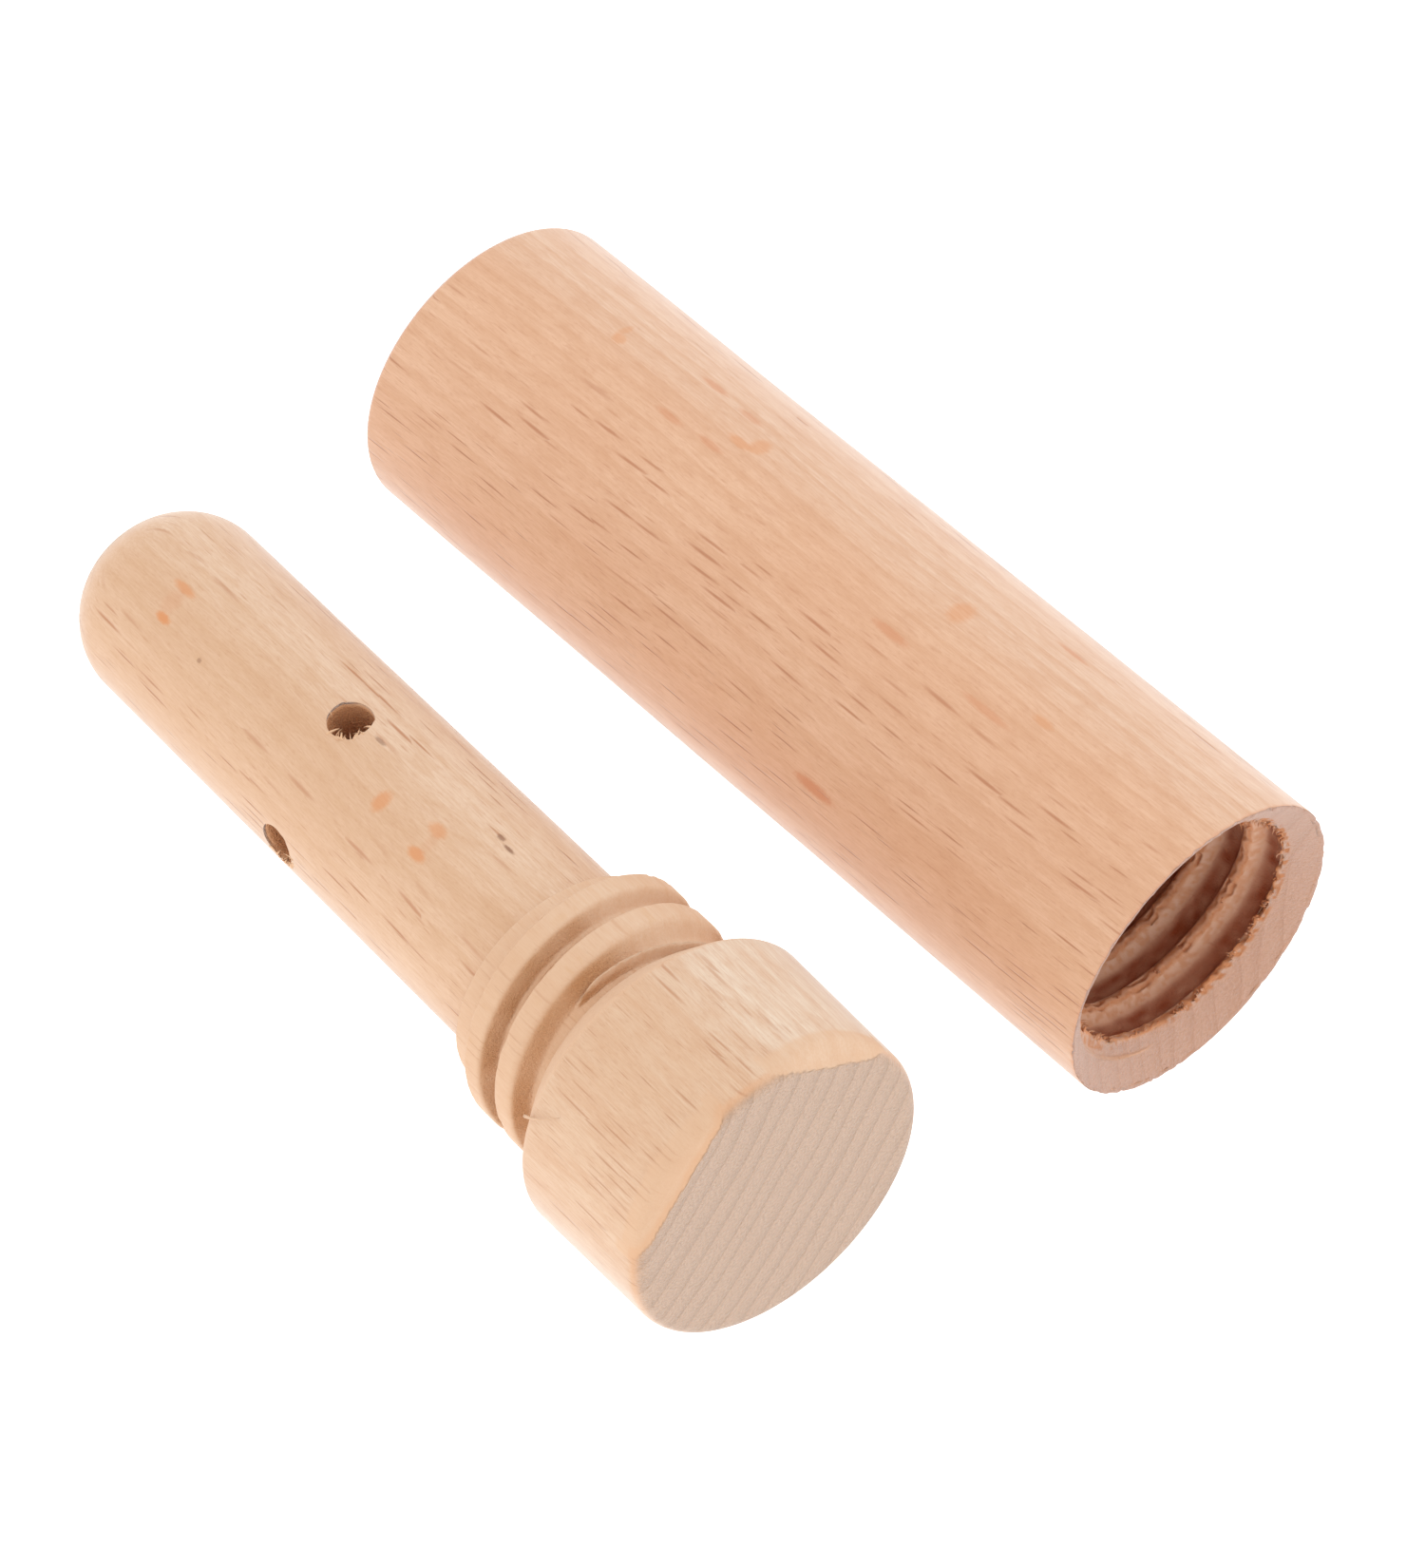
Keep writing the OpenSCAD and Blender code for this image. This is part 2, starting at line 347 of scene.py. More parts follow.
def stopper_rib(angle, z):
    """Height of the stopper's thread above its root. It starts thin and low, and ends short. The first
    turn is wider on its knob side."""
    height = np.zeros_like(z)
    for turn in range(-1, 3):
        along = turn + (angle - STOPPER_THREAD_ANGLE) / TURN
        away = z - STOPPER_THREAD_Z - PITCH * along
        share = smooth(0.18, 0.5, along) * smooth(STOPPER_TURNS, STOPPER_TURNS - 0.12, along)
        first = smooth(0.6, 0.9, along) * smooth(1.6, 1.2, along)
        thin = RIB_THIN + (1 - RIB_THIN) * share
        foot = np.where(away < 0, RIB_FOOT + 0.75 * first, RIB_FOOT) * thin
        flank = smooth(foot, RIB_CREST * thin, np.abs(away))
        height = np.maximum(height, (THREAD_R - ROOT_R) * flank * np.minimum(1, share * 1.6))
    return height


def stopper_fin(angle, z):
    """Height of the thin fin left between the shoulder and the first turn of the thread."""
    degrees = np.degrees(np.mod(angle + math.pi, TURN) - math.pi)
    middle = FIN_Z - 0.0003 * (degrees + 20) ** 2
    share = smooth(-30, -8, degrees) * smooth(56, 44, degrees)
    return share * np.exp(-((z - middle) / FIN_THICK) ** 2)


def die_shade(angle, z, r, threaded, rows):
    """How brown the collar is, and where shade is painted on it. The die leaves the flanks brown where it
    cuts across the grain; the narrow groove and the side turned away from the light get painted shade."""
    slope = np.zeros_like(r)
    slope[rows] = np.abs(np.gradient(r[rows], axis=0) / np.gradient(z[rows], axis=0))
    flank = smooth(0.25, 1.0, slope) * smooth(KNOB_LEN + 2.2, KNOB_LEN + 2.9, z)
    flank = 0.95 * flank * smooth(ROOT_R + 1.2, ROOT_R + 0.9, r)
    # Painted shade in the narrow groove
    groove = 0.3 * smooth(ROOT_R + 1.15, ROOT_R + 0.2, r) * (z > KNOB_LEN + 2.1)
    # It ends with the thread and leaves the fin pale, and the painted shade is strongest on the side
    # turned away from the light above
    along = np.mod(angle - STOPPER_THREAD_ANGLE, TURN) / TURN
    last = STOPPER_THREAD_Z + PITCH * (along + np.floor(STOPPER_TURNS - along))
    shade = threaded * np.maximum(flank, groove) * smooth(last + 1.6, last + 0.9, z)
    shade = shade * smooth(0.75, 0.3, stopper_fin(angle, z))
    # Painted shade: the side turned away from the light above gets most of it
    toward_light = np.cos(angle - math.radians(35))
    away_from_light = smooth(math.cos(math.radians(5)), math.cos(math.radians(45)), toward_light)
    return shade * (0.15 + 0.85 * away_from_light) * (0.8 + 0.25 * round_noise(angle, z, r, 1.6, 0.8, 26))


def sand_face(angle, z, r):
    """Sands the edge of the knob's face back to its flats. Returns z and the marks cut and worn."""
    cut, worn = np.zeros_like(r), np.zeros_like(r)
    for degrees, start, steep, brown in FACETS:
        past = np.clip(r * np.cos(angle - math.radians(degrees)) - start, 0, None)
        past = past + 0.1 * (past > 0) * round_noise(angle, 0, r, 0.8, 1.0, 24)
        z = np.where(z < FACE_ROUND + 1, np.hypot(z, steep * past * smooth(0, 0.4, past)), z)
        cut = np.maximum(cut, smooth(0.02, 0.15, past) * (z < FACE_ROUND + 1))
        border = smooth(0.7, 0.3, past + 0.15 * round_noise(angle, z, r, 0.7, 1.5, 27))
        worn = np.maximum(worn, brown * smooth(0.0, 0.15, past) * border * smooth(1.3, 0.8, z))
    return z, cut, worn


def shape_stopper(angle, z, r):
    threaded = (z > KNOB_LEN + 0.6) & (r > SPINDLE_R + 0.1) & (z < COLLAR_END - 0.05)
    core = ROOT_R * (r > ROOT_R - COLLAR_CHAMFER - 0.05)
    r = np.where(threaded, np.maximum(r, core + stopper_rib(angle, z)), r)
    r = np.where(threaded, np.maximum(r, core + stopper_fin(angle, z)), r)
    rows = np.where(threaded[:, 0] & (z[:, 0] < COLLAR_END - COLLAR_CHAMFER))[0]
    sunk = die_shade(angle, z, r, threaded, rows)
    # The crests are chipped here and there, and the knob is a little out of round
    crest = smooth(0.06, 0.3, relief(r, rows, 6)) * threaded
    r = r - crest * 0.07 * smooth(0.2, 0.8, round_noise(angle, 0.3 * z, r, 0.6, 0.8, 21))
    r = r + threaded * 0.02 * round_noise(angle, z, r, 0.5, 1.5, 22)
    knob = (z > 0.3) & (z < KNOB_LEN) & (r > KNOB_FACE_R - 1.2)
    r = r + knob * 0.04 * round_noise(angle, z, r, 8.0, 9.0, 23)
    z, sanded, worn = sand_face(angle, z, r)
    cut = np.maximum(sanded, smooth(KNOB_LEN - 0.8, KNOB_LEN - 0.3, z))
    torn = 0.3 * threaded * smooth(0.5, 0.9, round_noise(angle, 0.4 * z, r, 0.5, 0.5, 25))
    return z, r, dict(torn=torn, sunk=sunk, cut=cut, worn=worn)


stopper_mesh = turned("stopper_turned", stopper_outline(), THREADED_SEGMENTS, shape_stopper)
stopper_piece = finish_piece("stopper_turned", stopper_mesh, stopper_frame, "screw_stopper", "stopper")


# ---------------------------------------------------------------- the spindle

def spindle_outline():
    """From the foot in the socket to the rounded tip."""
    tip_r = SPINDLE_R - TIP_ROUND
    foot = SPINDLE_FOOT + SOCKET_PLAY
    rows = [(foot, 0.4)]
    rows += line((foot, SPINDLE_R), (SPINDLE_LEN - TIP_ROUND, SPINDLE_R), 0.7)
    rows += bend((SPINDLE_LEN - TIP_ROUND, tip_r), TIP_ROUND, 90, 0, 22)
    return rows + [(SPINDLE_LEN, tip_r), (SPINDLE_LEN, 0.4)]


def shape_spindle(angle, z, r):
    """The shaft is a little out of round."""
    shaft = (z > COLLAR_END) & (r > 2)
    r = r + shaft * 0.03 * round_noise(angle, z, r, 6.0, 12.0, 41)
    return z, r, {}


def shape_cutter(angle, z, r, knobward):
    """The drill's hole: straight inside, and torn wider where it breaks the surface."""
    wall = r > 0.5
    near = smooth(SPINDLE_R - 0.7, SPINDLE_R, np.abs(z)) * wall
    tear = smooth(0.1, 0.9, round_noise(angle, np.sign(z) * 3, r, 0.5, 1.0, 42))
    # The wood tears most towards the stopper, where the fibres lift
    tear = tear * (0.35 + 0.65 * smooth(0.2, 0.9, np.cos(angle - knobward)))
    r = r + near * (0.02 + 0.2 * tear) + wall * 0.025 * round_noise(angle, z, r, 0.5, 0.8, 43)
    return z, r, {}


def mark_anchor_holes(mesh):
    """Marks the holes' walls as cut, and as shaded further in."""
    co = np.empty(len(mesh.vertices) * 3)
    mesh.vertices.foreach_get("co", co)
    co = co.reshape(-1, 3)
    depth = SPINDLE_R - np.hypot(co[:, 0], co[:, 1])
    beside = np.abs(co[:, 2] - ANCHOR_Z) < ANCHOR_R + 0.6
    for label, from_depth, to_depth in (("sunk", 0.05, 0.6), ("cut", 0.06, 0.3)):
        share = smooth(from_depth, to_depth, depth) * beside
        mesh.attributes[label].data.foreach_set("value", share.astype(np.float32))


def cut_anchor_holes(piece):
    """Drills the two crossed thread-anchor holes through the dowel."""
    reach = SPINDLE_R + 1
    outline = [(-reach, 0.3)] + line((-reach, ANCHOR_R), (reach, ANCHOR_R), 0.16)
    outline += [(reach, ANCHOR_R), (reach, 0.3)]
    cutters = []
    for across, knobward in (("Y", 0), ("X", -math.pi / 2)):
        mesh = turned("cutter", outline, HOLE_SEGMENTS, partial(shape_cutter, knobward=knobward))
        cutter = bpy.data.objects.new("cutter", mesh)
        bpy.context.scene.collection.objects.link(cutter)
        cutter.matrix_world = (stopper_frame @ Matrix.Translation((0, 0, ANCHOR_Z))
                               @ Matrix.Rotation(math.radians(90), 4, across))
        cut = piece.modifiers.new("hole", "BOOLEAN")
        cut.object = cutter
        cut.solver = "EXACT"
        cutters.append(cutter)
    bpy.context.view_layer.update()
    ready = piece.evaluated_get(bpy.context.evaluated_depsgraph_get())
    mesh = bpy.data.meshes.new_from_object(ready)
    piece.modifiers.clear()
    piece.data = mesh
    for cutter in cutters:
        bpy.data.objects.remove(cutter)
    mark_anchor_holes(mesh)
    mesh.set_sharp_from_angle(angle=math.radians(45))


spindle_mesh = turned("spindle_dowel", spindle_outline(), SPINDLE_SEGMENTS, shape_spindle)
spindle_piece = finish_piece("spindle_dowel", spindle_mesh, stopper_frame, "screw_stopper", "spindle")
cut_anchor_holes(spindle_piece)

# ---------------------------------------------------------------- torn fibres

def strands(name, paths, place, body):
    """Thin torn fibres, each along its own points and tapered to its end, and as torn as it says."""
    sides = 5
    co, faces, torn = [], [], []
    for points, thick, share in paths:
        start = len(co)
        last = len(points) - 1
        for i, p in enumerate(points):
            run = (points[min(i + 1, last)] - points[max(i - 1, 0)]).normalized()
            side = run.orthogonal().normalized()
            other = run.cross(side)
            radius = thick * (1 - 0.85 * i / last)
            for j in range(sides):
                g = TURN * j / sides
                co.append(p + (side * math.cos(g) + other * math.sin(g)) * radius)
                torn.append(share)
        for i in range(last):
            for j in range(sides):
                a, b = start + i * sides + j, start + i * sides + (j + 1) % sides
                faces.append((a, b, b + sides, a + sides))
        faces.append([start + j for j in reversed(range(sides))])
        faces.append([start + last * sides + j for j in range(sides)])
    mesh = bpy.data.meshes.new(name)
    mesh.from_pydata(co, [], faces)
    mesh.attributes.new("torn", "FLOAT", "POINT").data.foreach_set("value", torn)
    mesh.attributes.new("cut", "FLOAT", "POINT").data.foreach_set("value", [1.0] * len(co))
    return finish_piece(name, mesh, place, body, None)


def polar(angle, r, z):
    """Point or direction in a piece's own millimetres, from its angle and distance to the axis."""
    return Vector((r * math.cos(angle), r * math.sin(angle), z))


def mouth_fibres():
    """Short ragged tufts on the torn rim of the mouth and on the crests behind it."""
    draw = random.Random(11)
    paths = []
    column = np.linspace(0.3, 6.5, 63)
    seat = CASE_R - MOUTH_LAND - column / SEAT_SLOPE
    for _ in range(80):
        tuft = draw.uniform(0, TURN)
        on_rim = draw.random() < 0.8
        for _ in range(draw.randint(2, 5)):
            angle = tuft + draw.gauss(0, 0.022)
            depth = case_groove(np.full_like(column, angle % TURN), column)[0]
            r = np.maximum(np.maximum(seat, BORE_R), BORE_R + depth)
            low = (r[1:-1] < r[:-2]) & (r[1:-1] <= r[2:]) & (depth[1:-1] < 0.85)
            crests = np.where(low)[0] + 1
            if len(crests) == 0:
                continue
            at = crests[0] if on_rim else crests[-1]
            p = polar(angle, r[at] + 0.4, column[at] + draw.uniform(-0.15, 0.25))
            inward, swirl = polar(angle, -1, 0), polar(angle + math.pi / 2, 1, 0)
            reach = draw.uniform(0.12, 0.42)
            lean, curl = draw.uniform(-0.7, 0.7), draw.uniform(-1.2, 0.2)
            points = [p + inward * (0.35 + reach * t) + swirl * lean * reach * t * t
                      + Vector((0, 0, 1)) * curl * reach * t * t for t in (-0.6, 0.2, 0.6, 1.0)]
            paths.append((points, draw.uniform(0.05, 0.11), draw.choice((0.4, 0.7, 1.0))))
    return paths


def hole_fibres():
    """Fibres torn up by the drill round both ends of both anchor holes."""
    draw = random.Random(5)
    paths = []
    for turn in (0, math.pi / 2, math.pi, 3 * math.pi / 2):
        for _ in range(26):
            g = draw.gauss(math.pi + 0.7, 0.75)
            sway = g + draw.gauss(0, 0.7)
            z = ANCHOR_Z + (ANCHOR_R + draw.uniform(0.0, 0.25)) * math.cos(g)
            angle = turn + (ANCHOR_R + 0.1) * math.sin(g) / SPINDLE_R
            reach = draw.uniform(0.3, 1.3)
            rise = draw.uniform(-0.6, 0.25)
            pull = draw.uniform(0.3, 1.0)
            points = [polar(angle - pull * reach * t * math.sin(sway) / SPINDLE_R,
                            SPINDLE_R - 0.05 + rise * reach * t * t,
                            z - pull * reach * t * math.cos(sway)) for t in (-0.3, 0.3, 0.65, 1.0)]
            paths.append((points, draw.choice((0.05, 0.08, 0.14)), draw.uniform(0.2, 0.9)))
    return paths


def knob_fibre():
    """The one long loose fibre, which lies over the rim of the knob."""
    points = [polar(math.radians(-63 + 9 * t), KNOB_R + 0.1 + 0.35 * math.sin(math.pi * t),
                    KNOB_LEN - 2.9 * t - 0.25 * math.sin(3 * t)) for t in (i / 8 for i in range(9))]
    return points, 0.13, 0.0


def thread_fibres():
    """Short fine fibres on the crests of the stopper's thread."""
    draw = random.Random(3)
    paths = []
    for _ in range(40):
        angle = draw.uniform(0, TURN)
        along = (angle - STOPPER_THREAD_ANGLE) % TURN / TURN
        z = STOPPER_THREAD_Z + PITCH * (along + draw.choice((0, 1))) + draw.choice((-0.8, 0.8))
        reach = draw.uniform(0.3, 0.7)
        base = THREAD_R - 0.25 if along > 0.2 else ROOT_R + 0.2
        points = [polar(angle + 0.03 * t * reach, base + 0.25 * t, z + 0.3 * reach * t * t)
                  for t in (0, 0.4, 0.7, 1)]
        paths.append((points, draw.uniform(0.02, 0.04), 0.2))
    return paths


case_fibres = strands("case_tube_fibres", mouth_fibres(), case_frame, "case")
spindle_fibres = strands("spindle_fibres", hole_fibres(), stopper_frame, "screw_stopper")
stopper_fibres = strands("stopper_fibres", [knob_fibre()] + thread_fibres(), stopper_frame,
                         "screw_stopper")


# ---------------------------------------------------------------- beech

# Distance from the wood's pith to a piece, and from one growth ring to the next
PITH_AWAY, RING = 70.0, 1.75


class Nodes:
    """Builds one material. A value is a number, a tuple or another node's output."""

    def __init__(self, name):
        self.material = bpy.data.materials.new(name)
        self.material.use_nodes = True
        self.tree = self.material.node_tree
        self.shader = self.tree.nodes["Principled BSDF"]

    def feed(self, socket, value):
        if isinstance(value, bpy.types.NodeSocket):
            self.tree.links.new(value, socket)
        else:
            socket.default_value = value

    def add(self, kind, inputs, output=0, **settings):
        node = self.tree.nodes.new("ShaderNode" + kind)
        for key, value in settings.items():
            setattr(node, key, value)
        for key, value in inputs.items():
            self.feed(node.inputs[key], value)
        return node.outputs[output]

    def math(self, operation, *values):
        return self.add("Math", dict(enumerate(values)), operation=operation)

    def vector(self, operation, a, b, output=0):
        return self.add("VectorMath", {0: a, 1: b}, output, operation=operation)

    def ramp(self, value, low, high, to_low=0.0, to_high=1.0):
        inputs = {"Value": value, "From Min": low, "From Max": high, "To Min": to_low, "To Max": to_high}
        return self.add("MapRange", inputs, interpolation_type="SMOOTHSTEP")

    def mix(self, factor, a, b, blend="MIX"):
        a, b = [(*c, 1.0) if isinstance(c, tuple) else c for c in (a, b)]
        return self.add("Mix", {0: factor, 6: a, 7: b}, 2, data_type="RGBA", blend_type=blend)

    def scaled(self, vector, factors):
        return self.vector("MULTIPLY", vector, factors)

    def noise(self, vector, factors, detail=2.0, rough=0.5, output=0):
        inputs = {"Vector": self.scaled(vector, factors), "Scale": 1.0}
        inputs.update({"Detail": detail, "Roughness": rough})
        return self.add("TexNoise", inputs, output)

    def rays(self, grain, spacing, size, sharp):
        """Wood rays: thin upright blades, scattered in (across, outward, along) grain space. They come
        out as dashes on one side of the piece, as flecks on the next, and as lines on the ends. The
        blades are solid up to the share sharp of their size, and fade out from there."""
        cells = self.scaled(grain, tuple(1 / s for s in spacing))
        cell = self.tree.nodes.new("ShaderNodeTexVoronoi")
        self.feed(cell.inputs["Vector"], cells)
        cell.inputs["Scale"].default_value = 1.0
        away = self.vector("SUBTRACT", cells, cell.outputs["Position"])
        away = self.scaled(away, tuple(s / a for s, a in zip(spacing, size)))
        far = self.vector("LENGTH", away, (0, 0, 0), 1)
        chance = self.add("SeparateColor", {0: cell.outputs["Color"]})
        reach = self.ramp(chance, 0.1, 1.0, 0.35, 1.25)
        blade = self.ramp(self.math("DIVIDE", far, reach), 1.0, sharp)
        return self.math("MULTIPLY", blade, self.ramp(chance, 0.0, 0.7, 0.45, 1.0))


def add_spots(g, tone, place, pores, spots, radius):
    """Stains and chips with ragged edges, on the surface at that radius."""
    for z, angle, long, wide, strength, tint in spots:
        a = math.radians(angle)
        away = g.vector("SUBTRACT", place, (radius * math.cos(a), radius * math.sin(a), z))
        far = g.vector("LENGTH", g.scaled(away, (2 / wide, 2 / wide, 2 / long)), (0, 0, 0), 1)
        far = g.math("ADD", far, g.math("MULTIPLY", g.math("SUBTRACT", pores, 0.5), 0.8))
        tone = g.mix(g.ramp(far, 1.3, 0.5, 0.0, strength), tone, tint)
    return tone


def feed_surface(g, fibre, hair, pores, late, dash, end, torn, sunk, cut):
    """Roughness, shine and fine relief. Cut and torn wood is duller than the sanded sides."""
    rough = g.math("ADD", g.ramp(fibre, 0.2, 0.8, 0.52, 0.66), g.math("MULTIPLY", end, 0.12))
    g.feed(g.shader.inputs["Roughness"], g.math("ADD", rough, g.math("MULTIPLY", torn, 0.15)))
    rag = g.math("MAXIMUM", g.math("MAXIMUM", sunk, torn), cut)
    g.feed(g.shader.inputs["Specular IOR Level"], g.ramp(rag, 0.0, 1.0, 0.45, 0.15))
    g.feed(g.shader.inputs["Sheen Weight"], g.ramp(rag, 0.0, 1.0, 0.55, 0.05))
    g.feed(g.shader.inputs["Sheen Roughness"], 0.35)
    g.feed(g.shader.inputs["Sheen Tint"], (0.9, 0.96, 1.0, 1.0))

    height = g.math("MULTIPLY", g.math("ADD", fibre, hair), 0.012)
    height = g.math("SUBTRACT", height, g.math("MULTIPLY", dash, 0.03))
    sawn_height = g.math("SUBTRACT", g.math("MULTIPLY", pores, 0.3), g.math("MULTIPLY", late, 0.04))
    height = g.math("ADD", height, g.math("MULTIPLY", g.math("MAXIMUM", end, sunk), sawn_height))
    height = g.math("ADD", height, g.math("MULTIPLY", g.math("MULTIPLY", torn, pores), 0.04))
    bump = g.add("Bump", {"Height": height, "Distance": MM, "Strength": 1.0})
    g.feed(g.shader.inputs["Normal"], bump)


def beech(name, face_angle, lean, colours, radius, spots=(), wave=1.0):
    """Turned beech. face_angle is the direction, in degrees round the axis, whose surface shows flecks
    instead of dashes. lean is the slope of the grain against the axis, wave how much it wanders, and
    spots the stains on the surface at that radius. Everything is cut from one block of rings, rays and
    fibres, so the sides and the ends agree."""
    g = Nodes(name)
    coords = g.tree.nodes.new("ShaderNodeTexCoord")
    place, facing = coords.outputs["Object"], coords.outputs["Normal"]
    turn = math.radians(face_angle)
    grain = g.add("Mapping", {"Vector": place, "Rotation": (lean[1], -lean[0], -turn)})
    wander = g.vector("SUBTRACT", g.noise(grain, (0.11, 0.11, 0.035), 1.0, output=1), (0.5, 0.5, 0.5))
    grain = g.vector("ADD", grain, g.scaled(wander, (1.3 * wave, 2.2 * wave, 0.0)))
    parts = g.tree.nodes.new("ShaderNodeSeparateXYZ")
    g.feed(parts.inputs[0], grain)
    across, outward = parts.outputs[0], parts.outputs[1]

    # Growth rings, centred on a pith far outside the piece
    bow = g.math("MULTIPLY", g.math("MULTIPLY", across, across), 0.5 / PITH_AWAY)
    year = g.math("DIVIDE", g.math("ADD", outward, bow), RING)
    year = g.math("ADD", year, g.math("MULTIPLY", g.noise(grain, (0.05, 0.45, 0.01), 1.0), 1.6 * wave))
    season = g.math("FRACT", year)
    late = g.math("MULTIPLY", g.ramp(season, 0.3, 0.95), g.ramp(season, 1.0, 0.95))
    ring_line = g.math("MULTIPLY", g.ramp(season, 0.72, 0.95), g.ramp(season, 1.0, 0.95))

    # Which way the surface faces: along the grain, or across the rings
    torn, sunk, cut, worn = (g.add("Attribute", {}, 2, attribute_name=label) for label in MARKS)
    upright = g.math("ABSOLUTE", g.vector("DOT_PRODUCT", facing, (0, 0, 1), 1))
    end = g.math("MULTIPLY", g.ramp(upright, 0.5, 0.93), g.ramp(cut, 0.0, 1.0, 1.0, 0.1))
    side = g.math("SUBTRACT", 1.0, end)
    out = (-math.sin(turn), math.cos(turn), 0)
    flat = g.math("ABSOLUTE", g.vector("DOT_PRODUCT", facing, out, 1))

    broad = g.rays(grain, (0.72, 5.0, 4.2), (0.095, 2.9, 2.2), 0.25)
    fine = g.rays(grain, (0.45, 2.6, 2.2), (0.05, 1.1, 0.8), 0.2)
    fibre = g.noise(grain, (5.5, 5.5, 0.33), 3.0, 0.6)
    hair = g.noise(grain, (14.0, 14.0, 0.8), 1.0)
    fleck = g.noise(grain, (7.0, 7.0, 1.8), 2.0, 0.6)
    cloud = g.noise(grain, (0.16, 0.16, 0.05), 2.0)
    blotch = g.noise(grain, (0.75, 0.75, 0.3), 2.0, 0.6)
    pores = g.noise(place, (4.2, 4.2, 4.2), 4.0, 0.7)

    # Sides: a paler colour outward, which is partly sapwood and partly painted light on the side towards
    # the key light, soft bands of growth, and fibres
    tone = g.mix(g.ramp(cloud, 0.35, 0.65), colours["light"], colours["warm"])
    # Painted light, partly: the pale colour falls on the side towards the key light
    pale = g.ramp(outward, colours["pale_sap_and_light_from"] - 3, colours["pale_sap_and_light_from"] + 3, 0.0, 0.9)
    tone = g.mix(pale, tone, colours["pale_sap_and_light"])
    tone = g.mix(g.math("MULTIPLY", late, colours["bands"]), tone, colours["late"])
    tone = g.mix(g.ramp(blotch, 0.46, 0.66, 0.0, 0.32), tone, colours["late"])
    tone = g.mix(g.ramp(fibre, 0.32, 0.7, 0.0, 0.38), tone, colours["late"])
    tone = g.mix(g.ramp(hair, 0.35, 0.7, 0.0, 0.16), tone, colours["dash"])
    tone = g.mix(g.ramp(fleck, 0.5, 0.75, 0.0, 0.22), tone, colours["dash"])

    # Ends: rings, speckled with pores
    sawn = g.math("ADD", g.math("MULTIPLY", late, 0.3), g.math("MULTIPLY", ring_line, colours["line"]))
    sawn = g.mix(sawn, colours["end"], colours["end_late"])
    sawn = g.mix(g.ramp(pores, 0.42, 0.62, 0.0, 0.45), sawn, colours["end_late"])
    tone = g.mix(end, tone, sawn)

    # Slopes are burnished by sanding, and the places that were handled or sanded most are browner
    burnish = g.math("MULTIPLY", g.ramp(upright, 0.12, 0.55), g.ramp(upright, 0.95, 0.6))
    burnish = g.math("MULTIPLY", burnish, g.ramp(cut, 0.0, 1.0, 0.4, 0.0))
    tone = g.mix(burnish, tone, colours["burnish"])
    worn = g.math("MULTIPLY", worn, g.ramp(pores, 0.3, 0.7, 0.95, 0.6))
    tone = g.mix(worn, tone, colours["burnish"])

    # Rays: dashes on the tangential sides, and specks all round
    dash = g.math("MULTIPLY", broad, g.ramp(flat, 0.15, 0.6, 0.0, colours["dashes"]))
    dash = g.math("MULTIPLY", dash, g.ramp(upright, 0.35, 0.85, 1.0, 0.1))
    tone = g.mix(dash, tone, colours["dash"])
    speck = g.math("MULTIPLY", g.math("MULTIPLY", fine, side), g.ramp(flat, 0.1, 0.6, 0.08, 0.5))
    tone = g.mix(speck, tone, colours["dash"])

    tone = add_spots(g, tone, place, pores, spots, radius)

    # What the tools left, fresh cuts and torn wood, and painted shade in the grooves, the bore and the
    # holes, which on the collar is partly the die's real brown
    tone = g.mix(g.math("MULTIPLY", cut, 0.6), tone, colours["fresh"])
    # Painted shade: the sunk mark darkens the grooves, the deep bore and the hole walls; on the collar it
    # is partly the die's real brown
    tone = g.mix(g.math("MULTIPLY", sunk, 0.85), tone, colours["groove"])
    tone = g.mix(g.math("MULTIPLY", torn, g.ramp(pores, 0.3, 0.7, 1.0, 0.7)), tone, colours["torn"])
    g.feed(g.shader.inputs["Base Color"], tone)

    feed_surface(g, fibre, hair, pores, late, dash, end, torn, sunk, cut)
    return g.material


# Sides: light and warm wood by turns, a paler colour from a set distance on outward, which is partly
# sapwood and partly painted light on the side towards the key light, late and dash for the bands, fibres
# and rays, with their strengths bands and dashes. Ends: end and end_late, with line for the rings' edges.
# Then burnish for worn edges, fresh for cut wood, the groove colour for painted shade in the threads, the
# bore and the holes (on the collar partly the real brown of the cut flanks), and torn.
CASE_COLOURS = dict(
    light=(0.71, 0.445, 0.29), warm=(0.68, 0.405, 0.255), pale_sap_and_light=(0.71, 0.49, 0.35), pale_sap_and_light_from=-1.0,
    late=(0.59, 0.32, 0.18), bands=0.42, dash=(0.46, 0.20, 0.10), dashes=0.95,
    end=(0.635, 0.365, 0.26), end_late=(0.50, 0.265, 0.175), line=0.12, burnish=(0.62, 0.31, 0.19),
    fresh=(0.82, 0.51, 0.355), groove=(0.37, 0.09, 0.032), torn=(0.60, 0.235, 0.095))
STOPPER_COLOURS = dict(
    light=(0.675, 0.47, 0.318), warm=(0.655, 0.437, 0.285), pale_sap_and_light=(0.735, 0.60, 0.47), pale_sap_and_light_from=-7.5,
    late=(0.59, 0.345, 0.20), bands=0.22, dash=(0.45, 0.205, 0.10), dashes=0.68,
    end=(0.685, 0.455, 0.315), end_late=(0.465, 0.285, 0.185), line=0.2, burnish=(0.62, 0.30, 0.14),
    fresh=(0.665, 0.435, 0.285), groove=(0.54, 0.24, 0.09), torn=(0.60, 0.35, 0.18))
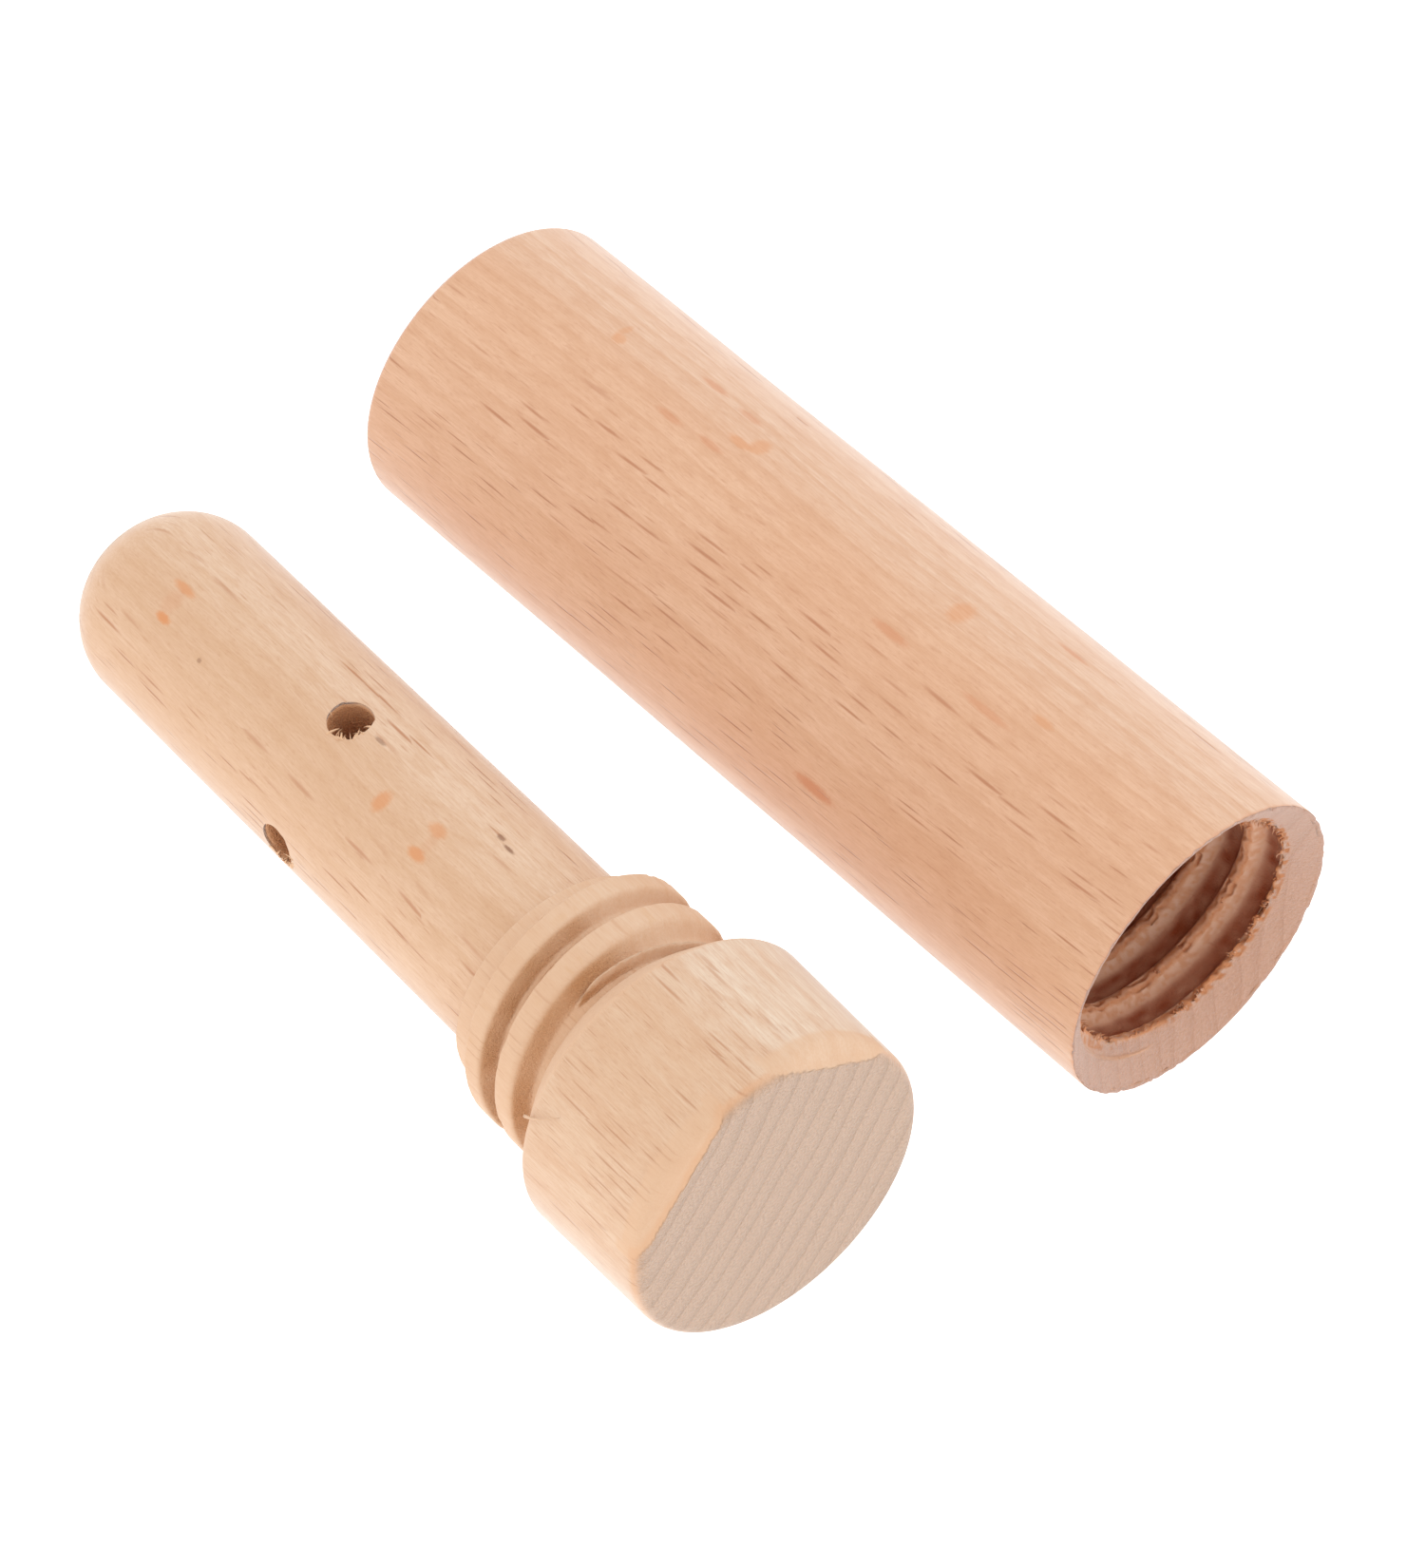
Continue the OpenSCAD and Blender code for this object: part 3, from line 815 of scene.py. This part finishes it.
SPINDLE_COLOURS = dict(
    light=(0.67, 0.445, 0.292), warm=(0.64, 0.41, 0.258), pale_sap_and_light=(0.72, 0.53, 0.385), pale_sap_and_light_from=2.0,
    late=(0.58, 0.345, 0.195), bands=0.3, dash=(0.45, 0.195, 0.09), dashes=0.9,
    end=(0.60, 0.42, 0.31), end_late=(0.48, 0.32, 0.23), line=0.2, burnish=(0.66, 0.41, 0.25),
    fresh=(0.74, 0.40, 0.21), groove=(0.70, 0.33, 0.15), torn=(0.76, 0.52, 0.33))
ORANGE, RED, DARK = (0.62, 0.255, 0.095), (0.57, 0.235, 0.11), (0.22, 0.09, 0.04)

# Stains and chips: place along the axis, angle round it, length, width, strength and tint
CASE_SPOTS = (
    (27.1, 7, 1.9, 2.6, 0.5, ORANGE), (49.0, 8, 1.6, 2.0, 0.5, ORANGE),
    (50.3, 4, 2.4, 0.9, 0.55, ORANGE), (64.4, 6, 1.2, 1.2, 0.5, ORANGE),
    (64.9, 10, 0.7, 2.2, 0.35, ORANGE), (56.2, 17, 2.8, 0.8, 0.6, RED),
    (52.0, 16, 2.6, 0.8, 0.5, RED), (51.6, -4, 2.6, 0.7, 0.5, RED),
    (55.8, -5.5, 2.8, 0.7, 0.5, RED), (19.3, -15.5, 4.6, 0.7, 0.5, RED),
    (29.3, -15.5, 3.8, 0.8, 0.6, RED), (27.6, -75, 4.2, 1.1, 0.95, RED),
    (19.6, 26, 3.2, 0.6, 0.6, RED), (15.6, -6, 2.0, 0.8, 0.4, ORANGE))
SPINDLE_SPOTS = (
    (36.9, -10.5, 1.9, 1.1, 0.6, ORANGE), (36.7, -27, 1.9, 1.0, 0.8, ORANGE),
    (42.2, -20, 1.4, 1.9, 0.7, ORANGE), (69.3, -11.5, 2.6, 0.8, 0.7, ORANGE),
    (68.8, -31, 1.7, 0.8, 0.95, ORANGE), (69.2, -21, 1.7, 2.4, 0.22, RED),
    (36.5, -19, 1.1, 2.2, 0.16, RED), (32.0, 9.5, 1.3, 0.35, 0.8, DARK),
    (33.3, 11.5, 0.9, 0.5, 0.7, DARK), (46.6, 3, 1.3, 0.4, 0.6, DARK),
    (63.5, -34, 0.5, 0.4, 0.5, DARK))

case_beech = beech("case_beech", 8, (-0.02, 0.0), CASE_COLOURS, CASE_R, CASE_SPOTS)
stopper_beech = beech("stopper_beech", 42, (0.01, 0.01), STOPPER_COLOURS, KNOB_R, wave=0.5)
spindle_beech = beech("spindle_beech", -20, (0.015, 0.0), SPINDLE_COLOURS, SPINDLE_R, SPINDLE_SPOTS)
for piece, material in ((case_piece, case_beech), (case_fibres, case_beech),
                        (stopper_piece, stopper_beech), (stopper_fibres, stopper_beech),
                        (spindle_piece, spindle_beech), (spindle_fibres, spindle_beech)):
    piece.data.materials.clear()
    piece.data.materials.append(material)

# ---------------------------------------------------------------- floor, light, camera

# The floor is lit to near white by itself, so the parts lie in a white light tent
FLOOR_HALF = 3
floor_mesh = bpy.data.meshes.new("floor")
floor_corners = [(-FLOOR_HALF, -FLOOR_HALF, 0), (FLOOR_HALF, -FLOOR_HALF, 0),
                 (FLOOR_HALF, FLOOR_HALF, 0), (-FLOOR_HALF, FLOOR_HALF, 0)]
floor_mesh.from_pydata(floor_corners, [], [(0, 1, 2, 3)])
floor = bpy.data.objects.new("floor", floor_mesh)
bpy.context.scene.collection.objects.link(floor)
floor_material = bpy.data.materials.new("floor")
floor_material.use_nodes = True
floor_shader = floor_material.node_tree.nodes["Principled BSDF"].inputs
floor_shader["Base Color"].default_value = (0.2, 0.2, 0.2, 1)
floor_shader["Roughness"].default_value = 0.9
floor_shader["Emission Color"].default_value = (1, 1, 1, 1)
floor_shader["Emission Strength"].default_value = 1.3
floor_mesh.materials.append(floor_material)

world = bpy.data.worlds.new("studio")
bpy.context.scene.world = world
world.use_nodes = True
sky = world.node_tree.nodes["Background"].inputs
sky["Color"].default_value = (1, 1, 1, 1)
sky["Strength"].default_value = 1.1
bpy.context.scene.view_settings.view_transform = "Standard"


def soft_box(name, place, power):
    """A square area light that faces the parts."""
    light = bpy.data.lights.new(name, "AREA")
    light.shape = "SQUARE"
    light.size = 0.7
    light.energy = power
    lamp = bpy.data.objects.new(name, light)
    bpy.context.scene.collection.objects.link(lamp)
    lamp.location = place
    lamp.rotation_euler = (Vector((0, 0, 0.01)) - Vector(place)).to_track_quat("-Z", "Y").to_euler()


soft_box("key", (0.25, 0.75, 0.75), 2.0)
soft_box("fill", (-0.35, -0.8, 0.2), 1.05)

# The photo's camera: its direction from the point it aims at, and how far off it is, in metres
VIEW_AZIMUTH, VIEW_ELEVATION = math.radians(48.24), math.radians(49.98)
AIM = Vector((5.6, 4.307, 10.0)) * MM
DISTANCE = 0.4004
camera_data = bpy.data.cameras.new("camera")
camera_data.lens = 124.2
camera_data.clip_start, camera_data.clip_end = 0.01, 20
camera = bpy.data.objects.new("camera", camera_data)
bpy.context.scene.collection.objects.link(camera)
back = Vector((math.sin(VIEW_AZIMUTH) * math.cos(VIEW_ELEVATION),
               -math.cos(VIEW_AZIMUTH) * math.cos(VIEW_ELEVATION), math.sin(VIEW_ELEVATION)))
camera.location = AIM + back * DISTANCE
camera.rotation_euler = (-back).to_track_quat("-Z", "Y").to_euler()
bpy.context.scene.camera = camera
